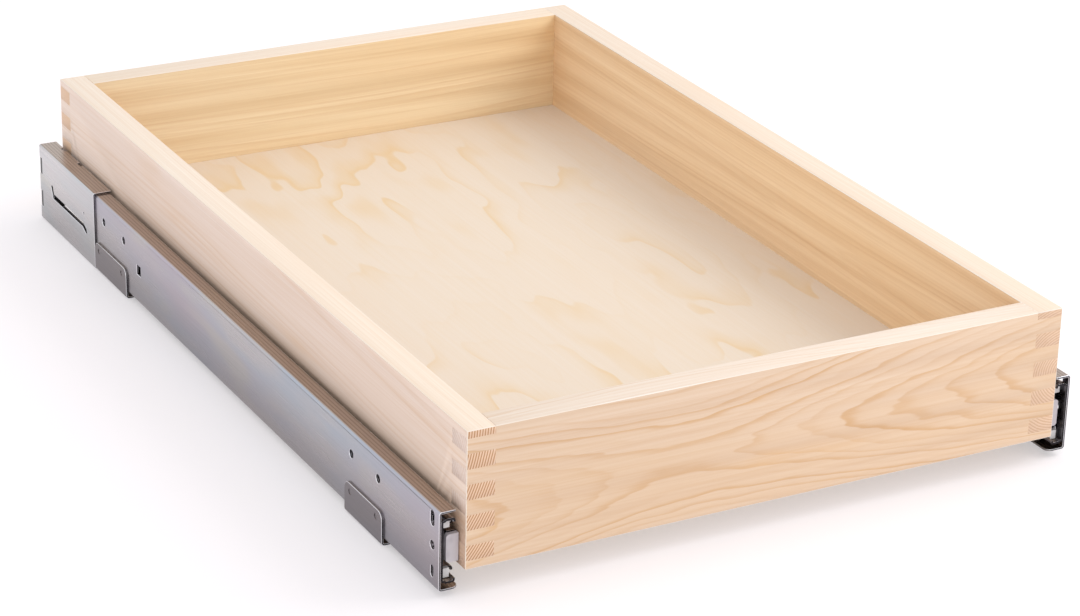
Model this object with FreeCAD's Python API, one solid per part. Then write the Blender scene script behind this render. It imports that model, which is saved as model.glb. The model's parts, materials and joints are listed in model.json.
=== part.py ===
import FreeCAD, Part
import math
import os
from FreeCAD import Vector

# A wooden drawer box hung between two side-mounted, full-extension ball-bearing slides
# with a soft-close unit in the rear of each. Everything is in millimetres, shown closed.
# X runs across the drawer, Y towards the back of the cabinet and Z up. The origin is under
# the middle of the whole set, on the cabinet floor that the slides' feet stand on.
# Slide sections are drawn for the right-hand slide and mirrored for the left one.

# Drawer box
drawer_width = 355.6
drawer_length = 558.8
drawer_height = 76.2
board = 15.9
panel_thickness = 6.35
panel_recess = 6.5
groove_depth = 6.35
finger = 8.4
top_finger = 4.2

# Slide as a whole
slide_length = 558.8
slide_setback = 4.0
side_gap = 12.7
foot_height = 15.2
travel = 558.8
race_half_height = 18.0
race_axis_above_drawer = 10.5
sheet = 1.2
rail_drop = 11.5
rail_height = 44.2
rail_top_edge = 3.4

# Ball races, as distances out from the drawer's side and from the slide's axis
outer_ball_diameter = 3.8
inner_ball_diameter = 3.0
ball_play = 0.05
cabinet_flange_edge = 3.6
cabinet_lip = 2.3
middle_flange_edge = 2.0
middle_lip = 1.5
drawer_flange_edge = 6.3
drawer_member_half_height = 8.6
buffer_half_height = 7.8
outer_ball_out = 7.0
inner_ball_out = 4.5
outer_cage_sheet = 0.7
inner_cage_sheet = 0.55
cage_gap = 0.35

# Members along the slide, measured back from the rail's front end
drawer_member_ends = (5.0, 552.0)
middle_member_ends = (6.0, 458.0)
outer_cage_ends = (142.0, 316.0)
inner_cage_ends = (148.0, 396.0)
outer_balls_per_row = 12
inner_balls_per_row = 18

# Holes and clips along the rail
end_slot_back = 7.6
screw_pitch = 32.0
front_screw_back = 70.0
rear_screw_back = 420.5
screw_hole_radius = 2.4
screw_hole_below_top = 12.6
square_hole_back = 397.0
front_clip_ends = (63.0, 108.0)
rear_clip_ends = (415.0, 465.7)
clip_height = 18.8
clip_screw_out = 6.5
clip_hole_radius = 2.5
head_access_radius = 5.0

# Soft-close unit
cover_front = 466.0
guide_rear = 536.0
guide_front = 485.5
guide_height = 22.1
guide_width = 3.2
window_ends = (474.0, 556.0)
window_half_height = 16.2
hook_notch_lows = (8.4, 30.2)
hook_notch_height = 10.6
hook_notch_depth = 4.0
carriage_ends = (533.0, 551.0)
crossbar_front = 480.0
crossbar_thickness = 4.0
damper_ends = (487.0, 556.0)
damper_lift = 12.6
damper_out = 8.0
spring_out = 8.4
running_gap = 0.4

# Fastenings of the drawer member and its release lever
drawer_screw_backs = (35.0, 200.0, 380.0, 515.0)
lever_pivot_back = 300.0
lever_reach = 40.0

drawer_half = drawer_width / 2
front_y = -(slide_setback + slide_length) / 2
rail_front_y = front_y + slide_setback
race_z = foot_height + race_axis_above_drawer
rail_bottom = foot_height - rail_drop
rail_top = rail_bottom + rail_height
web_face = side_gap - sheet
race_roof = race_half_height - sheet
middle_half_height = race_roof - outer_ball_diameter - 2 * ball_play
drawer_member_wall = drawer_member_half_height - sheet
outer_ball_lift = race_roof - ball_play - outer_ball_diameter / 2
inner_ball_lift = drawer_member_half_height + ball_play + inner_ball_diameter / 2
inner_cage_web = drawer_flange_edge + cage_gap + inner_cage_sheet
middle_web = inner_cage_web + cage_gap
middle_web_face = middle_web + sheet
outer_cage_web = middle_web_face + cage_gap + outer_cage_sheet
proud = side_gap + sheet


def out(distance):
    """X of a point on the right-hand slide, from its distance out from the drawer's side."""
    return drawer_half + distance


def back(distance):
    """Y of a point, from its distance behind the rail's front end."""
    return rail_front_y + distance


def block(out_range, back_range, z_range):
    """A box on the right-hand slide."""
    size = [high - low for low, high in (out_range, back_range, z_range)]
    corner = Vector(out(out_range[0]), back(back_range[0]), z_range[0])
    return Part.makeBox(size[0], size[1], size[2], corner)


def rod_along(out_at, z_at, radius, back_range):
    """A round bar lying along the slide."""
    start = Vector(out(out_at), back(back_range[0]), z_at)
    return Part.makeCylinder(radius, back_range[1] - back_range[0], start, Vector(0, 1, 0))


def rod_across(back_at, z_at, radius, out_range):
    """A round bar lying across the slide, pointing out from the drawer."""
    start = Vector(out(out_range[0]), back(back_at), z_at)
    return Part.makeCylinder(radius, out_range[1] - out_range[0], start, Vector(1, 0, 0))


def rod_up(out_at, back_at, radius, z_range):
    """An upright round bar."""
    start = Vector(out(out_at), back(back_at), z_range[0])
    return Part.makeCylinder(radius, z_range[1] - z_range[0], start)


def rounded_outline(corners):
    """A closed wire in the XZ plane through (point, radius) corners, with tangent arcs."""
    edges = []
    starts = []
    count = len(corners)
    for i, (point, radius) in enumerate(corners):
        before = (point - corners[i - 1][0]).normalize()
        after = (corners[(i + 1) % count][0] - point).normalize()
        turn = before.getAngle(after)
        if radius == 0 or turn < 1e-6:
            starts.append((point, None, point))
            continue
        cut = radius * math.tan(turn / 2)
        inward = (after - before).normalize()
        depth = radius / math.cos(turn / 2) - radius
        starts.append((point - before * cut, point + inward * depth, point + after * cut))
    for i, (first, middle, last) in enumerate(starts):
        if middle is not None:
            edges.append(Part.Arc(first, middle, last).toShape())
        following = starts[(i + 1) % count][0]
        if last.distanceToPoint(following) > 1e-7:
            edges.append(Part.LineSegment(last, following).toShape())
    return Part.Wire(edges)


def bent_sheet(path, thickness, bend, back_range):
    """Sheet folded along a path of (out, z) points, with its thickness to the path's left."""
    points = [Vector(out(o), back(back_range[0]), z) for o, z in path]
    near = []
    far = []
    for i, point in enumerate(points):
        ahead = (points[min(i + 1, len(points) - 1)] - points[min(i, len(points) - 2)]).normalize()
        behind = (points[max(i, 1)] - points[max(i, 1) - 1]).normalize()
        left_ahead = Vector(-ahead.z, 0, ahead.x)
        left_behind = Vector(-behind.z, 0, behind.x)
        mitre = (left_ahead + left_behind) * (thickness / (1 + left_ahead.dot(left_behind)))
        turn = behind.x * ahead.z - behind.z * ahead.x
        straight = abs(turn) < 1e-6
        near.append((point, 0 if straight else bend + (thickness if turn > 0 else 0)))
        far.append((point + mitre, 0 if straight else bend + (0 if turn > 0 else thickness)))
    wire = rounded_outline(near + far[::-1])
    return Part.Face(wire).extrude(Vector(0, back_range[1] - back_range[0], 0))


def axis_path(path):
    """Turns heights above the slide's axis into Z."""
    return [(o, race_z + lift) for o, lift in path]


def both_rows(lift):
    return (race_z + lift, race_z - lift)


def spread(count, ends, margin):
    """Evenly spaced places between two ends."""
    step = (ends[1] - ends[0] - 2 * margin) / (count - 1)
    return [ends[0] + margin + step * i for i in range(count)]


# Drawer box

def finger_bands():
    """Heights of the side boards' fingers at each corner, from the bottom up."""
    bands = []
    high = foot_height + drawer_height
    low = high - top_finger
    while high > foot_height:
        bands.append((max(low, foot_height), high))
        high = low - finger
        low = high - finger
    return bands


def panel_block():
    inner_x = drawer_half - board + groove_depth
    inner_y = board - groove_depth
    length = drawer_length - 2 * inner_y
    corner = Vector(-inner_x, front_y + inner_y, foot_height + panel_recess)
    return Part.makeBox(2 * inner_x, length, panel_thickness, corner)


def corner_fingers():
    """The parts of the four corner posts that belong to the side boards."""
    pieces = []
    for x in (-drawer_half, drawer_half - board):
        for y in (front_y, front_y + drawer_length - board):
            for low, high in finger_bands():
                pieces.append(Part.makeBox(board, board, high - low, Vector(x, y, low)))
    return pieces[0].fuse(pieces[1:])


def side_board(screws):
    """Right-hand side of the drawer, with box-joint fingers and the panel's groove."""
    size = (board, drawer_length - 2 * board, drawer_height)
    middle = Part.makeBox(*size, Vector(drawer_half - board, front_y + board, foot_height))
    corner = Vector(drawer_half - board, front_y, foot_height)
    reach = Part.makeBox(board, drawer_length, drawer_height, corner)
    solid = middle.fuse(reach.common(corner_fingers())).removeSplitter()
    return solid.cut([panel_block()] + screws)


def end_board(y):
    """Front or back of the drawer, notched for the sides' fingers."""
    whole = Part.makeBox(drawer_width, board, drawer_height, Vector(-drawer_half, y, foot_height))
    return whole.cut([corner_fingers(), panel_block()])


# Rail, cabinet member and feet

def screw_backs():
    return [start + step for start in (front_screw_back, rear_screw_back) for step in (0, screw_pitch)]


def side_screw_holes():
    z = rail_top - screw_hole_below_top
    return [rod_across(b, z, screw_hole_radius, (web_face - 4, side_gap + 1)) for b in screw_backs()]


def upright_slot(back_at, z_range, width):
    """Cutter for a slot with rounded ends, standing upright in the web."""
    half = width / 2
    reach = (web_face - 4, side_gap + 1)
    low, high = z_range[0] + half, z_range[1] - half
    slot = block(reach, (back_at - half, back_at + half), (low, high))
    ends = [rod_across(back_at, z, half, reach) for z in (low, high)]
    return slot.fuse(ends)


def web_openings():
    """Holes that go through both the rail and the cabinet member behind it."""
    reach = (web_face - 4, side_gap + 1)
    upper = upright_slot(end_slot_back, (rail_top - 10.4, rail_top - 1.9), 4.4)
    lower = upright_slot(end_slot_back, (rail_bottom + 5.5, rail_bottom + 12.0), 3.0)
    pilot = rod_across(end_slot_back, rail_top - 21.0, screw_hole_radius, reach)
    square_low = rail_top - 26.0
    square = block(reach, (square_hole_back - 3, square_hole_back + 3), (square_low, square_low + 6))
    window_z = (race_z - window_half_height, race_z + window_half_height)
    window = block(reach, window_ends, window_z)
    return side_screw_holes() + [upper, lower, pilot, square, window]


def flange_corner_cut(radius):
    """Cutter that rounds the inner front corner of the rail's bottom flange."""
    edge = 1.2
    z_range = (rail_bottom - 1, rail_bottom + sheet + 1)
    corner = block((edge - 1, edge + radius), (-1, radius), z_range)
    return corner.cut(rod_up(edge + radius, radius, radius, z_range))


def mounting_rail():
    """Outer plate of the slide with flanges turned in above and below the ball races."""
    path = [(1.2, rail_bottom), (side_gap, rail_bottom), (side_gap, rail_top), (rail_top_edge, rail_top)]
    solid = bent_sheet(path, sheet, 0.6, (0, slide_length))
    z_range = (rail_bottom - 1, rail_bottom + sheet + 1)
    access = [rod_up(clip_screw_out, b, head_access_radius, z_range) for b in clip_middles()]
    return solid.cut(web_openings() + access + [flange_corner_cut(4.0)])


def cabinet_member():
    """C-shaped member welded inside the rail, with a raised race for the balls in each flange."""
    race_edge = 9.0
    shoulder = race_edge + 0.8
    low = race_half_height - 0.7
    lip_end = race_half_height - cabinet_lip
    half = [(cabinet_flange_edge, lip_end), (cabinet_flange_edge, race_half_height),
            (race_edge, race_half_height), (shoulder, low), (web_face, low)]
    path = [(o, -lift) for o, lift in half] + half[::-1]
    solid = bent_sheet(axis_path(path), sheet, 0.3, (0, slide_length))
    return solid.cut(web_openings())


def clip_middles():
    return [sum(ends) / 2 for ends in (front_clip_ends, rear_clip_ends)]


def foot_clip(ends):
    """L-shaped foot spot-welded outside the rail and screwed to the cabinet floor."""
    path = [(1.0, 0), (proud, 0), (proud, clip_height)]
    solid = bent_sheet(path, sheet, 0.9, ends)
    hole = rod_up(clip_screw_out, sum(ends) / 2, clip_hole_radius, (-1, sheet + 1))
    radius = 5.0
    cutters = [hole]
    reach = (side_gap - 1, proud + 1)
    for edge, inward in ((ends[0], 1), (ends[1], -1)):
        centre = edge + inward * radius
        low, high = sorted((edge - inward, centre))
        square = block(reach, (low, high), (clip_height - radius, clip_height + 1))
        cutters.append(square.cut(rod_across(centre, clip_height - radius, radius, reach)))
        weld = rod_across(edge + inward * 7, clip_height - 4.6, 1.7, (proud - 0.25, proud + 1))
        cutters.append(weld)
    return solid.cut(cutters)


# Members that travel

def middle_member():
    """Intermediate member, between the two sets of balls."""
    inner = middle_half_height - sheet
    tip = middle_half_height + middle_lip
    half = [(middle_flange_edge, tip), (middle_flange_edge, inner), (middle_web, inner)]
    path = half + [(o, -lift) for o, lift in half[::-1]]
    solid = bent_sheet(axis_path(path), sheet, 0.6, middle_member_ends)
    slot = upright_slot(90.0, (race_z - 4, race_z + 4), 5.0).translated(Vector(-3.5, 0, 0))
    return solid.cut(slot)


def middle_buffers():
    """Two plastic buffers on the front ends of the intermediate member's flanges."""
    front = middle_member_ends[0] - 2.5
    pads = []
    for sign in (1, -1):
        over_z = (middle_half_height, race_roof - running_gap)
        over = block((5.2, middle_web_face), (front, front + 9.5), over_z)
        ahead_z = (middle_half_height - 1.6, middle_half_height)
        ahead = block((5.2, middle_web_face), (front, middle_member_ends[0]), ahead_z)
        pad = over.fuse(ahead).removeSplitter()
        pad = pad.mirror(Vector(0, 0, 0), Vector(0, 0, 1)) if sign < 0 else pad
        pads.append(pad.translated(Vector(0, 0, race_z)))
    return Part.makeCompound(pads)


def drawer_member():
    """Inner member, screwed to the drawer's side."""
    half = [(drawer_flange_edge, drawer_member_half_height), (0, drawer_member_half_height)]
    path = half + [(o, -lift) for o, lift in half[::-1]]
    solid = bent_sheet(axis_path(path), sheet, 0.6, drawer_member_ends)
    holes = [rod_across(b, race_z, 1.95, (-1, sheet + 1)) for b in drawer_screw_backs]
    pivot = rod_across(lever_pivot_back, race_z, 1.5, (-1, sheet + 1))
    return solid.cut(holes + [pivot])


def drawer_member_buffer():
    """Plastic end plug that closes the drawer member's front end."""
    head_z = (race_z - buffer_half_height, race_z + buffer_half_height)
    head = block((0.7, 7.6), (2.3, drawer_member_ends[0]), head_z)
    outer_edges = [e for e in head.Edges if e.BoundBox.XLength < 0.01 and e.BoundBox.YLength > 1]
    head = head.makeFillet(1.8, [e for e in outer_edges if e.BoundBox.XMin > out(7)])
    inside = drawer_member_wall - 0.7
    plug = block((sheet, 6.0), (drawer_member_ends[0], 22.0), (race_z - inside, race_z + inside))
    return head.fuse(plug).removeSplitter()


def ball_cage(edge, web, lift, thickness, ends, ball_out, ball_radius, places):
    """C-shaped strip with a hole for each ball of the upper and lower rows."""
    top = lift + thickness / 2
    path = [(edge, -top), (web, -top), (web, top), (edge, top)]
    solid = bent_sheet(axis_path(path), thickness, 0.2, ends)
    reach = (race_z - top - 1, race_z + top + 1)
    holes = [rod_up(ball_out, b, ball_radius + ball_play, reach) for b in places]
    return solid.cut(holes)


def balls(ball_out, lift, radius, places):
    centres = [Vector(out(ball_out), back(b), z) for z in both_rows(lift) for b in places]
    return Part.makeCompound([Part.makeSphere(radius, centre) for centre in centres])


def outer_places():
    return spread(outer_balls_per_row, outer_cage_ends, 5.0)


def inner_places():
    return spread(inner_balls_per_row, inner_cage_ends, 5.0)


def drawer_screws():
    """Pan-head screws through the drawer member into the drawer's side."""
    solids = []
    for b in drawer_screw_backs:
        head = rod_across(b, race_z, 3.6, (sheet, sheet + 2.0))
        rim = [e for e in head.Edges if e.BoundBox.XMin > out(sheet + 1.9)]
        head = head.makeFillet(0.8, rim)
        shank = rod_across(b, race_z, 1.9, (-8.8, sheet))
        recess = block((sheet + 1.0, sheet + 3), (b - 1.6, b + 1.6), (race_z - 0.4, race_z + 0.4))
        cross = block((sheet + 1.0, sheet + 3), (b - 0.4, b + 0.4), (race_z - 1.6, race_z + 1.6))
        solids.append(head.fuse(shank).cut([recess, cross]))
    return solids


def release_lever():
    """Plastic lever in the drawer member's channel that frees the drawer from the slide."""
    hub = rod_across(lever_pivot_back, race_z, 3.2, (sheet + running_gap, 5.4))
    arm_back = (lever_pivot_back - lever_reach, lever_pivot_back)
    arm = block((sheet + running_gap, 4.6), arm_back, (race_z - 1.4, race_z + 1.4))
    tip_back = (lever_pivot_back - lever_reach - 2, lever_pivot_back - lever_reach + 8)
    tip = block((sheet + running_gap, 5.6), tip_back, (race_z - 2.2, race_z + 2.2))
    solid = hub.fuse([arm, tip]).removeSplitter()
    return solid.cut(rod_across(lever_pivot_back, race_z, 1.55, (0, 8)))


def lever_pivot():
    """Rivet in the drawer member that the release lever turns on."""
    stem = rod_across(lever_pivot_back, race_z, 1.5, (0, 5.8))
    head = rod_across(lever_pivot_back, race_z, 2.4, (5.8, 6.2))
    return stem.fuse(head)


# Soft-close unit

def cover_slot():
    """Cutter for the bent guide slot in the cover's outer face."""
    route = [(guide_rear + 2.0, guide_height + 5.1), (guide_rear, guide_height),
             (guide_front, guide_height), (guide_front - 5.0, guide_height - 2.6)]
    half = guide_width / 2
    reach = (side_gap - 0.5, proud + 1)
    pieces = [rod_across(b, z, half, reach) for b, z in route]
    for (b0, z0), (b1, z1) in zip(route, route[1:]):
        length = math.hypot(b1 - b0, z1 - z0)
        bar = Part.makeBox(reach[1] - reach[0], length, guide_width, Vector(out(reach[0]), 0, -half))
        bar.rotate(Vector(0, 0, 0), Vector(1, 0, 0), math.degrees(math.atan2(z1 - z0, b1 - b0)))
        pieces.append(bar.translated(Vector(0, back(b0), z0)))
    return pieces[0].fuse(pieces[1:])


def soft_close_cover():
    """Sheet cover wrapped round the rear of the slide, with the guide slot in its side."""
    top = rail_top + sheet
    path = [(2.4, 0), (proud, 0), (proud, top), (2.4, top)]
    solid = bent_sheet(path, sheet, 0.02, (cover_front, slide_length))
    reach = (side_gap - 0.5, proud + 1)
    dimple = rod_across(guide_front - 2.0, guide_height + 7.9, 0.9, (proud - 0.7, proud + 1))
    ends = (slide_length - hook_notch_depth, slide_length + 1)
    notches = [block(reach, ends, (low, low + hook_notch_height)) for low in hook_notch_lows]
    bites = [block((1, 4.2), (b, b + 6), (rail_top - 0.5, top + 1)) for b in (512.0, 540.0)]
    return solid.cut([cover_slot(), dimple] + notches + bites)


def carriage_zone(gap):
    """Heights of the passage that the carriage runs in, widened by a gap on each side."""
    return (race_z - 9.6 - gap, race_z + 4.0 + gap)


def snap_hooks(body_z):
    """Two hooks that reach out through the window and lie in the cover's rear notches."""
    front = slide_length - hook_notch_depth + 0.2
    parts = []
    for notch_low in hook_notch_lows:
        low, high = notch_low + 0.2, notch_low + hook_notch_height - 0.2
        parts.append(block((side_gap + 0.1, proud - 0.4), (front, slide_length - 0.2), (low, high)))
        neck_z = (max(low, body_z[0]), min(high, body_z[1]))
        parts.append(block((side_gap - 0.7, side_gap + 0.5), (front, window_ends[1] - 0.2), neck_z))
    return parts


def soft_close_body():
    """Plastic body in the rear of the slide that guides the carriage, damper and spring."""
    z_range = (race_z - window_half_height + 0.1, race_z + window_half_height - 0.1)
    solid = block((7.2, side_gap - 0.2), (492.0, window_ends[1] - 0.2), z_range)
    passage = block((7.0, side_gap), (491.0, carriage_ends[1] + 1.0), carriage_zone(running_gap))
    damper_z = race_z + damper_lift
    damper_seat = rod_along(damper_out, damper_z, 3.5, (491.0, damper_ends[1]))
    damper_way = block((7.0, damper_out), (491.0, damper_ends[1]), (damper_z, z_range[1] + 1))
    spring_seat = rod_along(spring_out, race_z - damper_lift, 2.9, (491.0, damper_ends[1] - 1.6))
    solid = solid.cut([passage, damper_seat, damper_way, spring_seat])
    return solid.fuse(snap_hooks(z_range)).removeSplitter()


def catch_carriage():
    """Sliding catch: guide pin, arm, crossbar and the two jaws round the drawer's striker."""
    low, high = carriage_zone(0)
    body = block((7.2, 12.2), carriage_ends, (low, high))
    jaw_reach = (4.4, 7.2)
    rear_jaw = block(jaw_reach, (540.8, 544.2), (race_z - 3.0, race_z + 3.0))
    front_jaw = block(jaw_reach, (533.6, 537.0), (race_z - 6.6, race_z - 3.4))
    arm = block((7.2, 9.6), (crossbar_front, carriage_ends[0]), (race_z - 3.0, race_z + 2.0))
    bar_back = (crossbar_front, crossbar_front + crossbar_thickness)
    crossbar = block((7.2, 9.6), bar_back, (race_z - 15.0, race_z + 15.0))
    pin = rod_across(guide_rear, guide_height, guide_width / 2 - 0.15, (12.2, proud - 0.2))
    rod_hole = rod_along(damper_out, race_z + damper_lift, 1.2, (crossbar_front - 1, crossbar_front + 5))
    return body.fuse([rear_jaw, front_jaw, arm, crossbar, pin]).removeSplitter().cut(rod_hole)


def damper_cylinder():
    z = race_z + damper_lift
    front, rear = damper_ends
    tube = rod_along(damper_out, z, 3.5, damper_ends)
    bore = rod_along(damper_out, z, 2.7, (front + 3.0, rear - 1.0))
    neck = rod_along(damper_out, z, 1.25, (front - 1.0, front + 3.5))
    return tube.cut([bore, neck])


def damper_rod():
    """Piston rod, pressed into the crossbar, with its piston in the damper cylinder."""
    z = race_z + damper_lift
    piston_rear = damper_ends[1] - 1.5
    rod = rod_along(damper_out, z, 1.2, (crossbar_front, piston_rear))
    piston = rod_along(damper_out, z, 2.65, (piston_rear - 4.0, piston_rear))
    return rod.fuse(piston)


def closing_spring():
    """Close-wound extension spring, as one ribbed sleeve."""
    wire = 1.0
    radius = 2.0
    front = crossbar_front + crossbar_thickness + running_gap
    turns = int((damper_ends[1] - 2.0 - front) / wire)
    centre_z = race_z - damper_lift
    start = Vector(out(spring_out), back(front), centre_z)
    edges = []
    for turn in range(turns):
        ring = [start + Vector(radius + bulge, wire * (turn + along), 0)
                for along, bulge in ((0, 0), (0.5, 0.45), (1, 0))]
        edges.append(Part.Arc(*ring).toShape())
    end_y = wire * turns
    inner = radius - 0.5
    corners = [start + Vector(radius, end_y, 0), start + Vector(inner, end_y, 0),
               start + Vector(inner, 0, 0), start + Vector(radius, 0, 0)]
    edges += [Part.LineSegment(a, b).toShape() for a, b in zip(corners, corners[1:])]
    face = Part.Face(Part.Wire(edges))
    return face.revolve(start, Vector(0, 1, 0), 360)


def striker():
    """Steel striker riveted in the rear of the drawer member, which the catch takes hold of."""
    base = block((sheet, sheet + 1.0), (526.0, 543.0), (race_z - 5.0, race_z + 5.0))
    post = block((sheet + 1.0, 6.8), (537.4, 540.4), (race_z - 3.0, race_z + 3.0))
    return base.fuse(post).removeSplitter()


def save(node, shape):
    shape.exportStep("parts/" + node + ".step")
    print(node, len(shape.Solids), "solids,", round(shape.Volume / 1000, 2), "cm3", shape.isValid())


def slide_pieces():
    """Every piece of the right-hand slide, by name."""
    outer_radius = outer_ball_diameter / 2
    inner_radius = inner_ball_diameter / 2
    return {
        "mounting_rail": mounting_rail(),
        "cabinet_member": cabinet_member(),
        "front_foot_clip": foot_clip(front_clip_ends),
        "rear_foot_clip": foot_clip(rear_clip_ends),
        "soft_close_cover": soft_close_cover(),
        "soft_close_body": soft_close_body(),
        "damper_cylinder": damper_cylinder(),
        "closing_spring": closing_spring(),
        "catch_carriage": catch_carriage(),
        "damper_rod": damper_rod(),
        "intermediate_member": middle_member(),
        "intermediate_buffers": middle_buffers(),
        "outer_ball_cage": ball_cage(4.6, outer_cage_web, outer_ball_lift, outer_cage_sheet,
                                     outer_cage_ends, outer_ball_out, outer_radius, outer_places()),
        "outer_balls": balls(outer_ball_out, outer_ball_lift, outer_radius, outer_places()),
        "inner_ball_cage": ball_cage(2.6, inner_cage_web, inner_ball_lift, inner_cage_sheet,
                                     inner_cage_ends, inner_ball_out, inner_radius, inner_places()),
        "inner_balls": balls(inner_ball_out, inner_ball_lift, inner_radius, inner_places()),
        "drawer_member": drawer_member(),
        "drawer_member_buffer": drawer_member_buffer(),
        "drawer_member_screws": Part.makeCompound(drawer_screws()),
        "striker": striker(),
        "release_lever": release_lever(),
        "lever_pivot": lever_pivot(),
    }


def mirrored(shape):
    return shape.mirror(Vector(0, 0, 0), Vector(1, 0, 0))


def main():
    os.makedirs("parts", exist_ok=True)
    side = side_board(drawer_screws())
    save("drawer_front_board", end_board(front_y))
    save("drawer_back_board", end_board(front_y + drawer_length - board))
    save("right_drawer_side_board", side)
    save("left_drawer_side_board", mirrored(side))
    save("drawer_bottom_panel", panel_block())
    for name, shape in slide_pieces().items():
        save("right_" + name, shape)
        save("left_" + name, mirrored(shape))


main()
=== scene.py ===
import json
import math

import bmesh
import bpy
from mathutils import Matrix, Vector


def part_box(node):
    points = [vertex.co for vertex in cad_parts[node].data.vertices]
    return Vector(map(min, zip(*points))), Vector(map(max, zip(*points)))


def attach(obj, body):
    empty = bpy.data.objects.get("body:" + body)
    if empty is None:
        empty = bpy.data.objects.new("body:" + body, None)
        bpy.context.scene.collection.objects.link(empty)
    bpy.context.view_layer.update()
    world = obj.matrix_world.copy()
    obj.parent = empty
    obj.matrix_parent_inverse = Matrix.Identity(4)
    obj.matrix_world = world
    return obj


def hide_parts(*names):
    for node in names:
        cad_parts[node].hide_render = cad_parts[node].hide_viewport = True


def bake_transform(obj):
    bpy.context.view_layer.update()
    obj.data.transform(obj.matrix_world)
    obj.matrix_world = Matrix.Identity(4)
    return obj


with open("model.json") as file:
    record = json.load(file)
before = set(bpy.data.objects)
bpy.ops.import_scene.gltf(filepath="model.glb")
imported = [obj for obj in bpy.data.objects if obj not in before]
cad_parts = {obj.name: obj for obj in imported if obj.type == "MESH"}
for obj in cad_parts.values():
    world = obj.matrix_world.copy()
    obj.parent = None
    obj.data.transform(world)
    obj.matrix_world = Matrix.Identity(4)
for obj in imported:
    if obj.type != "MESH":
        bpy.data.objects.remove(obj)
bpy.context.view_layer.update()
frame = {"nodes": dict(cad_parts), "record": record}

nodeSlot = {node: solid.data.materials[0].name for node, solid in frame["nodes"].items()}
sides = ("left", "right")
mm = 0.001


camera = {
    "azimuth": -28.539,  # degrees round from straight in front, below 0 to the left
    "elevation": 23.507,
    "roll": 1.376,
    "distance": 1.9828,
    "target": (0.0139, 0.0, 0.0105),
    "lens": 112.37,
    "sensor": 36.0,
    "farthest": 50,
}


def placeCamera():
    turn, lift, roll = (math.radians(camera[k]) for k in ("azimuth", "elevation", "roll"))
    back = Vector((math.sin(turn) * math.cos(lift), -math.cos(turn) * math.cos(lift), math.sin(lift)))
    level = Vector((math.cos(turn), math.sin(turn), 0))
    up = back.cross(level)
    right = math.cos(roll) * level + math.sin(roll) * up
    top = math.cos(roll) * up - math.sin(roll) * level
    data = bpy.data.cameras.new("camera")
    data.lens = camera["lens"]
    data.sensor_width = camera["sensor"]
    data.clip_end = camera["farthest"]
    eye = bpy.data.objects.new("camera", data)
    bpy.context.scene.collection.objects.link(eye)
    eye.matrix_world = (
        Matrix.Translation(Vector(camera["target"]) + camera["distance"] * back)
        @ Matrix((right, top, back)).transposed().to_4x4()
    )
    bpy.context.scene.camera = eye


light = {
    "world": (0.97, 0.98, 1.0),
    "worldStrength": 1.05,
    # name: place, width, depth, watts, colour
    "lamps": {
        "right_softbox": ((1.50, -0.45, 1.5), 1.3, 1.3, 17, (1.0, 0.985, 0.96)),
        "front_fill": ((-0.9, -2.4, 1.3), 2.2, 1.6, 4, (1.0, 0.98, 0.96)),
    },
    "view": "Standard",
}


def placeLights():
    world = bpy.data.worlds.new("studio")
    world.use_nodes = True
    background = world.node_tree.nodes["Background"]
    background.inputs["Color"].default_value = (*light["world"], 1)
    background.inputs["Strength"].default_value = light["worldStrength"]
    bpy.context.scene.world = world
    for name, (place, width, depth, watts, colour) in light["lamps"].items():
        data = bpy.data.lights.new(name, "AREA")
        data.shape = "RECTANGLE"
        data.size = width
        data.size_y = depth
        data.energy = watts
        data.color = colour
        lamp = bpy.data.objects.new(name, data)
        lamp.location = place
        lamp.rotation_euler = Vector(place).to_track_quat("Z", "Y").to_euler()
        bpy.context.scene.collection.objects.link(lamp)


# One socket of a material. Sums written with it add the nodes that work them out.
class Wire:
    def __init__(self, tree, socket=None):
        self.tree = tree
        self.socket = socket

    def node(self, kind, settings, sockets, output=0):
        new = self.tree.nodes.new("ShaderNode" + kind)
        for key, value in settings.items():
            setattr(new, key, value)
        for key, value in sockets.items():
            if isinstance(value, Wire):
                self.tree.links.new(value.socket, new.inputs[key])
            else:
                new.inputs[key].default_value = value
        return Wire(self.tree, new.outputs[output])

    def calc(self, operation, *values):
        return self.node("Math", {"operation": operation}, dict(enumerate(values)))

    def __add__(self, other):
        return self.calc("ADD", self, other)

    def __sub__(self, other):
        return self.calc("SUBTRACT", self, other)

    def __rsub__(self, other):
        return self.calc("SUBTRACT", other, self)

    def __mul__(self, other):
        return self.calc("MULTIPLY", self, other)

    def __truediv__(self, other):
        return self.calc("DIVIDE", self, other)

    __radd__ = __add__
    __rmul__ = __mul__

    def fract(self):
        return self.calc("FRACT", self)

    def root(self):
        return self.calc("SQRT", self)

    def size(self):
        return self.calc("ABSOLUTE", self)

    # 0 below low, 1 above high, and a smooth rise between
    def rise(self, low, high):
        return self.node("MapRange", {"interpolation_type": "SMOOTHSTEP"}, {0: self, 1: low, 2: high})

    # low colour where this is 0, high colour where it is 1 (a Mix node's colours are sockets 6, 7 and 2)
    def tint(self, low, high):
        ends = [(*c, 1) if isinstance(c, tuple) else c for c in (low, high)]
        return self.node("Mix", {"data_type": "RGBA"}, {0: self, 6: ends[0], 7: ends[1]}, 2)

    # the place in space pulled out by these factors, so that a pattern on it is drawn out the other way
    def scaled(self, factors):
        return self.node("VectorMath", {"operation": "MULTIPLY"}, {0: self, 1: factors})

    def shifted(self, offset):
        return self.node("VectorMath", {"operation": "ADD"}, {0: self, 1: offset})

    def noise(self, scale, detail=2.0, roughness=0.5):
        sockets = {"Vector": self, "Scale": scale, "Detail": detail, "Roughness": roughness}
        return self.node("TexNoise", {}, sockets)

    def parts(self):
        x = self.node("SeparateXYZ", {}, {0: self})
        return x, *(Wire(self.tree, x.socket.node.outputs[n]) for n in (1, 2))


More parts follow.
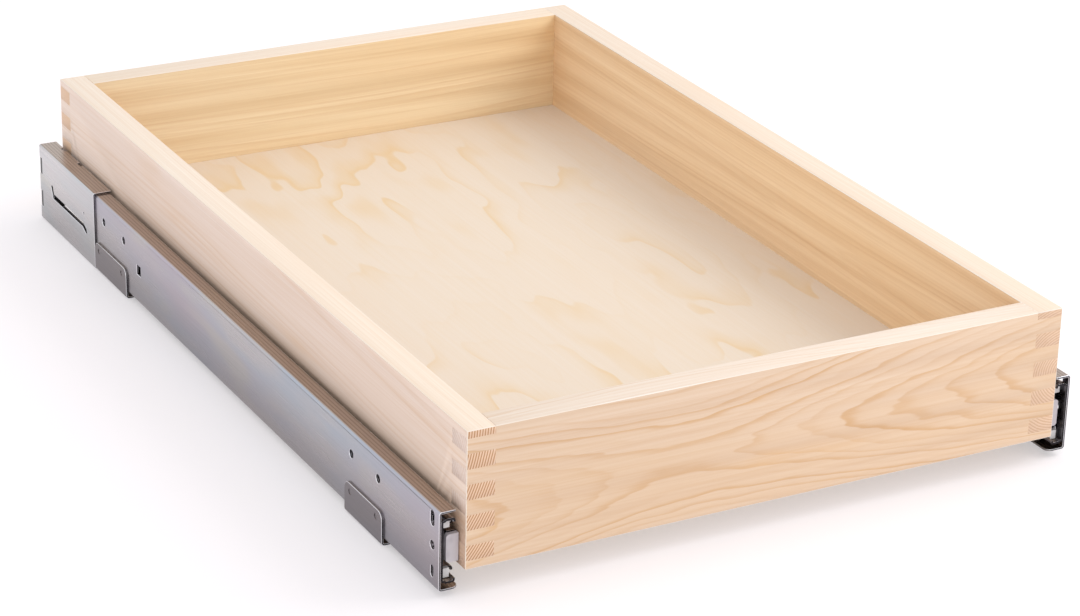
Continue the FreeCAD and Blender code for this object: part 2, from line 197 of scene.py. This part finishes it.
def newFinish(name, paint, look, fixed):
    material = bpy.data.materials.new(name)
    material.use_nodes = True
    tree = material.node_tree
    tree.nodes.clear()
    start = Wire(tree)
    place = start.node("TexCoord", {}, {}, "Object")
    facing = Wire(tree, place.socket.node.outputs["Normal"])
    sockets = paint(place, facing, look)
    height = sockets.pop("height")
    sockets["Normal"] = start.node(
        "Bump", {}, {"Height": height, "Distance": look["bumpDepth"], "Strength": look["bump"]}
    )
    surface = start.node("BsdfPrincipled", {}, {**fixed, **sockets})
    end = tree.nodes.new("ShaderNodeOutputMaterial")
    tree.links.new(surface.socket, end.inputs["Surface"])
    material.diffuse_color = (*look["swatch"], 1)
    return material


pine = {
    "swatch": (0.80, 0.62, 0.42),
    "late": (0.600, 0.330, 0.130),
    "resin": (0.760, 0.440, 0.170),
    # painted highlight: paler colour for faces turned upwards
    "edgeGrain": (0.830, 0.755, 0.680),
    "endEarly": (0.790, 0.580, 0.430),
    "endLate": (0.400, 0.180, 0.075),
    # painted shade colour for outward faces low down beside the slides
    "shaded": (0.560, 0.330, 0.190),
    # patterns: scale along the grain and across it, or one scale
    "grain": (1.0, 6.0),
    "fibre": (6.0, 900.0),
    "fleck": (60.0, 1500.0),
    "wanderScale": 7.0,
    "rippleScale": 26.0,
    "patchScale": 4.0,
    "cloudScale": 2.2,
    "streakScale": 9.0,
    # growth rings: how far they stray, in rings, and how dark they are across one ring
    "heartBend": 0.04,  # how far from turnAt the heart starts to come nearer
    "wanderRings": 2.2,
    "rippleRings": 0.8,
    "lateRise": (0.50, 0.90),
    "slowRise": (0.10, 0.80),
    "lateShare": 0.75,
    "ringEnd": (0.90, 1.0),
    "yearStep": 0.37,
    "yearRise": (0.30, 0.66),
    "patchRise": (0.35, 0.70),
    "patch": (0.50, 0.55),  # how much stronger some places are, and the least
    # where each colour starts and is full, and how much of it shows
    "cloudRise": (0.30, 0.75),
    "streakRise": (0.58, 0.80),
    "fleckRise": (0.70, 0.80),
    "endFacing": (0.75, 0.95),
    "topFacing": (0.85, 0.97),
    "outFacing": (0.70, 0.95),
    "hatchRise": (0.25, 0.85),
    "hatchEnd": (0.93, 1.0),
    "tanHeights": (0.040, 0.054),
    "tan": 0.55,
    "streak": 0.22,
    "fleckShade": 0.10,
    "fibreShade": (0.55, 0.16),  # contrast and middle
    # how much painted highlight upward faces get, and how much their ring lines fade under it
    "topShade": 0.75,
    "topFade": 0.60,
    "fibreRough": 0.22,
    "lateSmooth": 0.06,
    "heights": (0.6, 0.5, 0.3),  # of fibres, late wood and flecks
    "roughness": 0.52,
    "bump": 0.35,
    "bumpDepth": 0.00025,
}
# Each board is cut from its own place in a trunk, and its grain runs along axis 0 or 1. The heart is the
# trunk's middle (depth, height), which leans along the board.
boards = {
    "drawer_front_board": {
        "along": 0, "heart": (-0.2270, 0.052), "lean": 0.035, "turnAt": -0.053, "taper": 0.085,
        "ringGap": 0.0021, "wander": 1.2, "lines": 0.70, "seed": 1.3, "endLines": 0.25,
        "endEarly": (0.800, 0.680, 0.620), "early": (0.780, 0.615, 0.480), "warm": (0.750, 0.555, 0.390),
    },
    "drawer_back_board": {
        "along": 0, "heart": (0.400, -0.020), "lean": 0.01, "turnAt": 0.05, "taper": 0.02,
        "ringGap": 0.0019, "wander": 0.35, "lines": 0.26, "seed": 4.1, "endLines": 0.3, "streak": 0.10,
        "early": (0.880, 0.720, 0.480), "warm": (0.870, 0.660, 0.400),
        "edgeGrain": (0.780, 0.700, 0.640),
    },
    "left_drawer_side_board": {
        "along": 1, "heart": (-0.279, 0.103), "lean": 0.012, "turnAt": 0.10, "taper": 0.012,
        "ringGap": 0.00148, "wander": 0.3, "lines": 0.34, "seed": 7.7, "endLines": 1.0,
        # painted shade: the pinker early and warm colours stand in for the cool light in the shade on this
        # side
        "early": (0.860, 0.725, 0.645), "warm": (0.840, 0.695, 0.600),
        "edgeGrain": (0.840, 0.745, 0.630),
    },
    "right_drawer_side_board": {
        "along": 1, "heart": (0.186, 0.056), "lean": 0.01, "turnAt": -0.05, "taper": 0.014,
        "ringGap": 0.0015, "wander": 0.45, "lines": 0.28, "seed": 9.2, "endLines": 0.42, "streak": 0.10,
        "early": (0.930, 0.710, 0.475), "warm": (0.920, 0.660, 0.390),
        "edgeGrain": (0.780, 0.700, 0.630),
    },
}


def pinePaint(place, facing, look):
    x, y, z = place.parts()
    px, py, pz = facing.parts()
    along, deep = (x, y) if look["along"] == 0 else (y, x)

    def drawnOut(lengthwise, crosswise):
        ends = (lengthwise, crosswise) if look["along"] == 0 else (crosswise, lengthwise)
        return place.scaled((*ends, crosswise))

    seeded = drawnOut(*look["grain"]).shifted((look["seed"],) * 3)
    # distance from the heart, which comes nearer towards both ends of the board
    run = along - look["turnAt"]
    bend = look["heartBend"]
    nearer = ((run * run + bend * bend).root() - bend) * look["taper"]
    side = 1 if look["heart"][0] > 0 or look["along"] == 0 else -1
    deepOff = deep - look["heart"][0] + nearer * side
    upOff = z - look["heart"][1] - along * look["lean"]
    radius = (deepOff * deepOff + upOff * upOff).root()
    wander = (seeded.noise(look["wanderScale"], 1.5) - 0.5) * (look["wanderRings"] * look["wander"])
    ripple = (seeded.noise(look["rippleScale"], 2.0) - 0.5) * (look["rippleRings"] * look["wander"])
    growth = radius / look["ringGap"] + wander + ripple
    # each ring darkens slowly, ends sharply, and is stronger in some years and places than in others
    step = growth.fract()
    share = look["lateShare"]
    late = step.rise(*look["lateRise"]) * share + step.rise(*look["slowRise"]) * (1 - share)
    late = late * (1 - step.rise(*look["ringEnd"]))
    year = place.node(
        "TexNoise", {"noise_dimensions": "1D"},
        {"W": growth * look["yearStep"] + look["seed"], "Scale": 1.0},
    )
    patch, least = look["patch"]
    patchy = seeded.noise(look["patchScale"], 1.0).rise(*look["patchRise"]) * patch + least
    late = late * year.rise(*look["yearRise"]) * patchy
    # fibres, fine flecks and slow changes of colour
    fibre = drawnOut(*look["fibre"]).noise(1.0, 3.0, 0.6)
    fleck = drawnOut(*look["fleck"]).noise(1.0, 1.0).rise(*look["fleckRise"])
    cloud = seeded.noise(look["cloudScale"], 2.0).rise(*look["cloudRise"])
    streak = seeded.noise(look["streakScale"], 2.0).rise(*look["streakRise"])
    lineColour = streak.tint(look["late"], look["resin"])
    # painted highlight: faces turned upwards are tinted paler and their ring lines fade, standing in for
    # the sheen of light on the board tops
    top = pz.size().rise(*look["topFacing"])
    face = cloud.tint(look["early"], look["warm"])
    face = (top * look["topShade"]).tint(face, look["edgeGrain"])
    face = (late * look["lines"] * (1 - top * look["topFade"])).tint(face, lineColour)
    face = (streak * look["streak"]).tint(face, look["resin"])
    # the ends show the rings cut across
    hatch = step.rise(*look["hatchRise"]) * (1 - step.rise(*look["hatchEnd"])) * look["endLines"]
    end = hatch.tint(look["endEarly"], look["endLate"])
    ending = (px if look["along"] == 0 else py).size().rise(*look["endFacing"])
    colour = ending.tint(face, end)
    # painted shade: outward faces are darker and warmer low down beside the slides, standing in for the
    # slides' shadow and the warm light bounced between rail and wood
    outer = (px * x.calc("SIGN", x)).rise(*look["outFacing"])
    colour = (outer * (1 - z.rise(*look["tanHeights"])) * look["tan"]).tint(colour, look["shaded"])
    contrast, middle = look["fibreShade"]
    colour = ((fibre - 0.5) * contrast + middle).tint(colour, look["late"])
    colour = (fleck * look["fleckShade"]).tint(colour, look["late"])
    fibreHigh, lateHigh, fleckDeep = look["heights"]
    return {
        "Base Color": colour,
        "Roughness": look["roughness"] + (fibre - 0.5) * look["fibreRough"] - late * look["lateSmooth"],
        "height": fibre * fibreHigh + late * lateHigh - fleck * fleckDeep,
    }


plywood = {
    "swatch": (0.87, 0.76, 0.62),
    "pale": (0.740, 0.640, 0.540),
    "cream": (0.725, 0.615, 0.505),
    "amber": (0.710, 0.510, 0.280),
    "plyEdge": (0.560, 0.380, 0.220),
    # patterns: scale along each axis, or one scale
    "drawnOut": (9.0, 3.1, 9.0),
    "cutAt": (3.7, 8.3, 0.4),
    "ringScale": 1.1,
    "rings": 10.0,
    "bodyRise": (0.30, 0.90),
    "bodyEnd": (0.93, 1.0),
    "rimRise": (0.80, 0.95),
    "rimEnd": (0.96, 1.0),
    "body": (0.42, 0.04),  # how amber the rings are where they are strong, and everywhere
    "rim": (0.24, 0.06),
    "strongOut": (1.7, 1.5, 1.7),
    "strongRise": (0.45, 0.62),
    "fibreOut": (700.0, 8.0, 700.0),
    "fibreShade": (0.35, 0.08),  # contrast and middle
    "fibreRough": 0.20,
    "cloudScale": 0.6,
    "layersPerMetre": 950.0,
    "layerRise": (0.45, 0.55),
    "flatFacing": (0.60, 0.90),
    "roughness": 0.50,
    "bump": 0.25,
    "bumpDepth": 0.0002,
}


# Rotary-cut veneer: broad rings that swell and close round high and low places in the trunk.
def plywoodPaint(place, facing, look):
    z = place.parts()[2]
    nz = facing.parts()[2]
    drawn = place.scaled(look["drawnOut"]).shifted(look["cutAt"])
    growth = drawn.noise(look["ringScale"], 3.5, 0.52) * look["rings"]
    step = growth.fract()
    body = step.rise(*look["bodyRise"]) * (1 - step.rise(*look["bodyEnd"]))
    rim = step.rise(*look["rimRise"]) * (1 - step.rise(*look["rimEnd"]))
    strong = drawn.scaled(look["strongOut"]).noise(1.0, 2.0).rise(*look["strongRise"])
    amber = body * (strong * look["body"][0] + look["body"][1])
    amber = amber + rim * (strong * look["rim"][0] + look["rim"][1])
    cloud = drawn.noise(look["cloudScale"], 2.0)
    face = amber.tint(cloud.tint(look["pale"], look["cream"]), look["amber"])
    layers = (z * look["layersPerMetre"]).fract().rise(*look["layerRise"])
    edge = layers.tint(look["plyEdge"], look["cream"])
    colour = nz.size().rise(*look["flatFacing"]).tint(edge, face)
    fibre = place.scaled(look["fibreOut"]).noise(1.0, 3.0, 0.6)
    contrast, middle = look["fibreShade"]
    colour = ((fibre - 0.5) * contrast + middle).tint(colour, look["amber"])
    return {
        "Base Color": colour,
        "Roughness": look["roughness"] + (fibre - 0.5) * look["fibreRough"],
        "height": fibre,
    }


zincPlate = {
    "swatch": (0.58, 0.58, 0.62),
    "steel": (0.520, 0.495, 0.500),
    "blue": (0.430, 0.480, 0.550),
    "rose": (0.520, 0.430, 0.470),
    "straw": (0.560, 0.530, 0.470),
    "grime": (0.220, 0.210, 0.230),
    # painted shade colour for low down
    "low": (0.130, 0.105, 0.110),
    # painted reflection of the drawer's wood on faces turned upwards
    "top": (0.420, 0.325, 0.260),
    # painted shade lines on faces turned upwards, standing in for race grooves
    "line": (0.130, 0.085, 0.060),
    # painted shade colour for faces turned towards the drawer
    "oil": (0.035, 0.030, 0.033),
    # painted shade, nearly black, for faces turned along the slide
    "cut": (0.016, 0.014, 0.016),
    # patterns: scale along each axis, or one scale
    "filmOut": (40.0, 9.0, 40.0),
    "strawOut": (30.0, 14.0, 60.0),
    "rolledOut": (2200.0, 16.0, 2200.0),
    "grainScale": 900.0,
    "linesPerMetre": 480.0,
    # where each colour starts and is full
    "blueRise": (0.35, 0.65),
    "roseRise": (0.45, 0.75),
    "strawRise": (0.55, 0.75),
    "lineRise": (0.10, 0.26),
    "lowHeights": (0.004, 0.044),
    "topFacing": (0.80, 0.95),
    "inFacing": (0.30, 0.80),
    "cutFacing": (0.90, 0.98),
    # how much of each colour shows
    "roseShade": 0.80,
    "strawShade": 0.60,
    "rolledShade": (0.35, 0.10),  # contrast and middle
    "lowShade": 0.55,
    "topShade": 0.85,
    "lineShade": 0.42,
    "innerShade": 0.60,
    "cutShade": 0.97,
    "rolledRough": 0.20,
    "filmRough": 0.12,
    "grainHeight": 0.4,
    "roughness": 0.30,
    "bump": 0.25,
    "bumpDepth": 0.0001,
}
dullZinc = dict(
    zincPlate, swatch=(0.38, 0.36, 0.36), steel=(0.265, 0.240, 0.240), blue=(0.235, 0.230, 0.255),
    rose=(0.290, 0.235, 0.235), straw=(0.280, 0.255, 0.225), roughness=0.42, lowShade=0.25,
)
coverPlate = dict(
    zincPlate, steel=(0.640, 0.620, 0.620), blue=(0.550, 0.610, 0.630), rose=(0.640, 0.580, 0.590),
    straw=(0.650, 0.630, 0.560), lowShade=0.42,
)
# painted highlight: a much brighter copy of the plate for eased edges, standing in for light glinting along
# edges, bends and hole rims
edgeHighlight = dict(
    zincPlate, steel=(0.800, 0.800, 0.820), blue=(0.780, 0.800, 0.860), rose=(0.860, 0.800, 0.820),
    straw=(0.820, 0.810, 0.780), roughness=0.26, lowShade=0.15, topShade=0.0, lineShade=0.0,
    innerShade=0.5, cutShade=0.0,
)


# Plated strip: rolled along Y, with the thin rainbow that a clear passivate leaves.
def platePaint(place, facing, look):
    x, _, z = place.parts()
    px, py, pz = facing.parts()
    drawn = place.scaled(look["filmOut"])
    film = drawn.noise(1.0, 2.0)
    second = drawn.noise(0.5, 2.0)
    straw = place.scaled(look["strawOut"]).noise(1.0, 1.0).rise(*look["strawRise"])
    rolled = place.scaled(look["rolledOut"]).noise(1.0, 3.0, 0.6)
    grain = place.noise(look["grainScale"], 3.0, 0.6)
    colour = film.rise(*look["blueRise"]).tint(look["steel"], look["blue"])
    colour = (second.rise(*look["roseRise"]) * look["roseShade"]).tint(colour, look["rose"])
    colour = (straw * look["strawShade"]).tint(colour, look["straw"])
    contrast, middle = look["rolledShade"]
    colour = ((rolled - 0.5) * contrast + middle).tint(colour, look["grime"])
    # painted shade: the strip is darker towards the bottom, standing in for the shaded floor it mirrors low
    # down
    colour = ((1 - z.rise(*look["lowHeights"])) * look["lowShade"]).tint(colour, look["low"])
    # painted reflection: faces turned upwards are browner, standing in for the drawer's wood mirrored in
    # them, with painted shade lines for the race grooves
    top = pz.rise(*look["topFacing"])
    lines = 1 - ((x * look["linesPerMetre"]).fract() - 0.5).size().rise(*look["lineRise"])
    colour = (top * look["topShade"]).tint(colour, look["top"])
    colour = (top * lines * look["lineShade"]).tint(colour, look["line"])
    # painted shade: faces turned towards the drawer are darkened, standing in for the shade inside the
    # slide
    inward = (px * x.calc("SIGN", x) * -1.0).rise(*look["inFacing"])
    colour = (inward * look["innerShade"]).tint(colour, look["oil"])
    # painted shade: faces turned along the slide, the cut ends among them, are made nearly black, standing
    # in for shade and dark reflections
    cut = py.size().rise(*look["cutFacing"])
    colour = (cut * look["cutShade"]).tint(colour, look["cut"])
    uneven = (rolled - 0.5) * look["rolledRough"] + (film - 0.5) * look["filmRough"]
    return {
        "Base Color": colour,
        "Roughness": look["roughness"] + uneven,
        "height": rolled + grain * look["grainHeight"],
    }


polishedSteel = {
    "swatch": (0.75, 0.75, 0.77),
    "steel": (0.760, 0.760, 0.780),
    "shade": (0.620, 0.620, 0.650),
    "turnedOut": (300.0, 1400.0, 300.0),
    "spotScale": 260.0,
    "shadeRise": (0.40, 0.70),
    "spotRough": 0.14,
    "roughness": 0.12,
    "bump": 0.08,
    "bumpDepth": 0.00005,
}
springSteel = dict(
    polishedSteel, swatch=(0.5, 0.5, 0.52), steel=(0.500, 0.500, 0.520), shade=(0.360, 0.350, 0.370),
    roughness=0.32, bump=0.2,
)


def groundPaint(place, facing, look):
    turned = place.scaled(look["turnedOut"]).noise(1.0, 2.0)
    spots = place.noise(look["spotScale"], 3.0, 0.6)
    return {
        "Base Color": spots.rise(*look["shadeRise"]).tint(look["steel"], look["shade"]),
        "Roughness": look["roughness"] + (spots - look["shadeRise"][0]) * look["spotRough"],
        "height": turned,
    }


blackPlastic = {
    "swatch": (0.03, 0.03, 0.035),
    "base": (0.022, 0.022, 0.025),
    "worn": (0.050, 0.050, 0.055),
    "textureScale": 1800.0,
    "swirlScale": 120.0,
    "wornRise": (0.45, 0.75),
    "textureRough": 0.15,
    "roughness": 0.42,
    "bump": 0.25,
    "bumpDepth": 0.0001,
}
whitePlastic = dict(
    blackPlastic, swatch=(0.86, 0.86, 0.85), base=(0.700, 0.690, 0.690), worn=(0.560, 0.545, 0.545)
)
greyPlastic = dict(
    blackPlastic, swatch=(0.60, 0.58, 0.62), base=(0.540, 0.510, 0.540), worn=(0.430, 0.400, 0.430)
)


def mouldedPaint(place, facing, look):
    texture = place.noise(look["textureScale"], 2.0)
    swirl = place.noise(look["swirlScale"], 2.0)
    return {
        "Base Color": swirl.rise(*look["wornRise"]).tint(look["base"], look["worn"]),
        "Roughness": look["roughness"] + (texture - 0.5) * look["textureRough"],
        "height": texture,
    }


metalSockets = {"Metallic": 1.0}
woodSockets = {"Metallic": 0.0, "Specular IOR Level": 0.35}
plasticSockets = {"Metallic": 0.0, "Specular IOR Level": 0.5}
finishes = {
    "plywood": newFinish("plywood", plywoodPaint, plywood, woodSockets),
    "zinc_plate": newFinish("zinc_plate", platePaint, zincPlate, metalSockets),
    "cover_plate": newFinish("cover_plate", platePaint, coverPlate, metalSockets),
    "dull_zinc": newFinish("dull_zinc", platePaint, dullZinc, metalSockets),
    "bright_edge": newFinish("bright_edge", platePaint, edgeHighlight, metalSockets),
    "polished_steel": newFinish("polished_steel", groundPaint, polishedSteel, metalSockets),
    "spring_steel": newFinish("spring_steel", groundPaint, springSteel, metalSockets),
    "black_plastic": newFinish("black_plastic", mouldedPaint, blackPlastic, plasticSockets),
    "white_plastic": newFinish("white_plastic", mouldedPaint, whitePlastic, plasticSockets),
    "grey_plastic": newFinish("grey_plastic", mouldedPaint, greyPlastic, plasticSockets),
}
for board, cut in boards.items():
    finishes[board] = newFinish("pine_" + board, pinePaint, {**pine, **cut}, woodSockets)
# painted highlight: a paler pine for the eased outer arrises, standing in for the bright line of light
# along the edges
arris = {
    "early": (0.900, 0.840, 0.770), "warm": (0.880, 0.790, 0.690),
    "lines": 0.2, "endEarly": (0.860, 0.740, 0.640),
}
palePine = {**pine, **boards["drawer_back_board"], **arris}
finishes["arris"] = newFinish("pine_arris", pinePaint, palePine, woodSockets)
print("finishes made:", len(finishes))


bodyOf = {node: body for body, nodes in frame["record"]["behaviour"]["bodies"].items() for node in nodes}


def newPiece(name, bm, materials, node):
    mesh = bpy.data.meshes.new(name)
    bm.to_mesh(mesh)
    bm.free()
    for material in materials:
        mesh.materials.append(material)
    piece = bpy.data.objects.new(name, mesh)
    bpy.context.scene.collection.objects.link(piece)
    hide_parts(node)
    return piece


meshing = {
    "mergeWithin": 0.002 * mm,
    "flatWithin": math.radians(0.4),
    "streakFrom": 1,  # degrees
    "noBroadFaces": 1e9,
}


def mergedCopy(node):
    bm = bmesh.new()
    bm.from_mesh(frame["nodes"][node].data)
    bmesh.ops.remove_doubles(bm, verts=bm.verts, dist=meshing["mergeWithin"])
    bmesh.ops.dissolve_limit(
        bm, angle_limit=meshing["flatWithin"], verts=bm.verts, edges=bm.edges,
        use_dissolve_boundaries=False,
    )
    for face in bm.faces:
        face.material_index = 0
    return bm


def easeEdges(bm, edges, width, segments=1, clamped=True):
    made = bmesh.ops.bevel(
        bm, geom=edges, offset=width, offset_type="OFFSET", affect="EDGES", segments=segments,
        profile=0.5, material=-1, clamp_overlap=clamped,
    )
    return made["faces"]


def sharpEdges(bm, least):
    return [
        e for e in bm.edges
        if len(e.link_faces) == 2 and e.is_convex and e.calc_face_angle(0) > math.radians(least)
    ]


# Broad flat faces keep their own shading, so that a bend beside them does not streak across them.
def smoothSides(bm, most, broad=meshing["noBroadFaces"]):
    for face in bm.faces:
        face.smooth = True
    for edge in bm.edges:
        turn = math.degrees(edge.calc_face_angle(0)) if len(edge.link_faces) == 2 else 180
        besideFlat = (
            turn > meshing["streakFrom"]
            and max(face.calc_area() for face in edge.link_faces) > broad
        )
        edge.smooth = turn < most and not besideFlat


boardEdges = {
    "arris": 0.45 * mm,
    "arrisSteps": 2,
    "joint": 0.03 * mm,
    "sharpFrom": 40,  # degrees
    "squareFrom": 80,
    "smoothBelow": 50,
    "shortestRim": 100 * mm,
    "shortestJoint": 1 * mm,
    "onPlane": 0.01 * mm,
}


def makeBoard(node):
    bm = mergedCopy(node)
    boxLow = Vector(map(min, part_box("drawer_front_board")[0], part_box("drawer_back_board")[0]))
    boxHigh = Vector(map(max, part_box("drawer_front_board")[1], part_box("drawer_back_board")[1]))
    along = boards[node]["along"]
    near = boardEdges["onPlane"]

    # whether an edge is on the outside of the whole drawer box, not in a joint
    def outside(edge):
        ends = [v.co for v in edge.verts]
        planes = sum(
            all(abs(p[axis] - limit[axis]) < near for p in ends)
            for axis in range(3) for limit in (boxLow, boxHigh)
        )
        rim = all(min(abs(p.z - boxLow.z), abs(p.z - boxHigh.z)) < near for p in ends)
        lengthwise = abs((ends[1] - ends[0]).normalized()[along]) > 0.999
        return planes >= 2 or (rim and lengthwise and edge.calc_length() > boardEdges["shortestRim"])

    arrises = [e for e in sharpEdges(bm, boardEdges["sharpFrom"]) if outside(e)]
    # the eased outer arrises take the arris finish, a painted highlight
    for face in easeEdges(bm, arrises, boardEdges["arris"], boardEdges["arrisSteps"]):
        face.material_index = 1
    square = sharpEdges(bm, boardEdges["squareFrom"])
    easeEdges(bm, [e for e in square if e.calc_length() > boardEdges["shortestJoint"]], boardEdges["joint"])
    smoothSides(bm, boardEdges["smoothBelow"])
    piece = newPiece(node + "_wood", bm, [finishes[node], finishes["arris"]], node)
    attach(piece, bodyOf[node])


for board in boards:
    makeBoard(board)
print("boards made:", len(boards))


sheetMetal = {
    "mounting_rail": 0.32 * mm,
    "cabinet_member": 0.18 * mm,
    "front_foot_clip": 0.28 * mm,
    "rear_foot_clip": 0.28 * mm,
    "soft_close_cover": 0.28 * mm,
    "intermediate_member": 0.18 * mm,
    "drawer_member": 0.12 * mm,
    "striker": 0.1 * mm,
}
sheetEdges = {
    "roundedFrom": 0.2 * mm,
    "sharpFrom": 40,  # degrees
    "smoothBelow": 35,
    "markDepth": 0.4 * mm,
    "broadArea": 40 * mm * mm,
}


# A shallow stamped mark has walls much lower than the sheet is thick.
def inStampedMark(edge):
    return any(
        len(face.verts) == 4
        and any(
            other is not edge and set(other.verts) & set(edge.verts)
            and other.calc_length() < sheetEdges["markDepth"]
            for other in face.edges
        )
        for face in edge.link_faces
    )


def makeSheetMetal(node, width):
    bm = mergedCopy(node)
    edges = [e for e in sharpEdges(bm, sheetEdges["sharpFrom"]) if not inStampedMark(e)]
    wide = width > sheetEdges["roundedFrom"]
    # painted highlight: the eased edges take the bright_edge finish
    worn = set(easeEdges(bm, edges, width, 2 if wide else 1, not wide))
    for face in worn:
        if face.is_valid:
            face.material_index = 1
    smoothSides(bm, sheetEdges["smoothBelow"], sheetEdges["broadArea"])
    plate = "cover_plate" if node.endswith("soft_close_cover") else nodeSlot[node]
    piece = newPiece(
        node + "_metal", bm, [finishes[plate], finishes["bright_edge"]], node
    )
    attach(piece, bodyOf[node])


for side in sides:
    for part, width in sheetMetal.items():
        makeSheetMetal(side + "_" + part, width)
print("sheet metal made:", 2 * len(sheetMetal))


spring = {
    "wire": 0.85 * mm,
    "pitch": 1.02 * mm,
    "wireSides": 6,
    "stepsPerTurn": 14,
    "mergeWithin": 0.001 * mm,
    "smoothBelow": 80,  # degrees
}


def makeSpring(side):
    node = side + "_closing_spring"
    low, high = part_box(node)
    middle = (low + high) / 2
    wire = spring["wire"] / 2
    radius = (high.x - low.x) / 2 - wire
    turns = int((high.y - low.y - 2 * wire) / spring["pitch"])
    bm = bmesh.new()
    start = Vector((middle.x + radius, low.y + wire, middle.z))
    bmesh.ops.create_circle(
        bm, radius=wire, segments=spring["wireSides"], cap_ends=True,
        matrix=Matrix.Translation(start),
    )
    steps = turns * spring["stepsPerTurn"]
    bmesh.ops.spin(
        bm, geom=bm.verts[:] + bm.edges[:] + bm.faces[:], cent=(middle.x, low.y + wire, middle.z),
        axis=(0, 1, 0), dvec=(0, spring["pitch"] / spring["stepsPerTurn"], 0),
        angle=turns * 2 * math.pi, steps=steps,
    )
    bmesh.ops.remove_doubles(bm, verts=bm.verts, dist=spring["mergeWithin"])
    bmesh.ops.recalc_face_normals(bm, faces=bm.faces)
    smoothSides(bm, spring["smoothBelow"])
    piece = newPiece(node + "_coil", bm, [finishes["spring_steel"]], node)
    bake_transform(piece)


for side in sides:
    makeSpring(side)
print("springs made: 2")


shown = 0
for node, solid in frame["nodes"].items():
    if not solid.hide_render:
        for n in range(len(solid.data.materials)):
            solid.data.materials[n] = finishes[nodeSlot[node]]
        shown += 1
print("nodes painted:", shown)


studioFloor = {
    "swatch": (0.60, 0.565, 0.580),
    "glow": 0.37,
    "halfWidth": 5.0,
    "height": -0.1 * mm,  # just clear of the feet
    "grainScale": 400.0,
    "grainRough": 0.05,
    "roughness": 0.75,
    "bump": 0.02,
    "bumpDepth": 0.0001,
}


def floorPaint(place, facing, look):
    grain = place.noise(look["grainScale"], 2.0)
    return {
        "Base Color": (*look["swatch"], 1),
        "Roughness": look["roughness"] + (grain - 0.5) * look["grainRough"],
        "height": grain,
    }


def placeFloor():
    glowing = {
        "Specular IOR Level": 0.2,
        "Emission Color": (1, 1, 1, 1),
        "Emission Strength": studioFloor["glow"],
    }
    bm = bmesh.new()
    level = Matrix.Translation((0, 0, studioFloor["height"]))
    bmesh.ops.create_grid(bm, x_segments=1, y_segments=1, size=studioFloor["halfWidth"], matrix=level)
    mesh = bpy.data.meshes.new("floor")
    bm.to_mesh(mesh)
    bm.free()
    mesh.materials.append(newFinish("floor", floorPaint, studioFloor, glowing))
    floor = bpy.data.objects.new("floor", mesh)
    bpy.context.scene.collection.objects.link(floor)


placeCamera()
placeLights()
placeFloor()
bpy.context.scene.view_settings.view_transform = light["view"]
print("studio set")
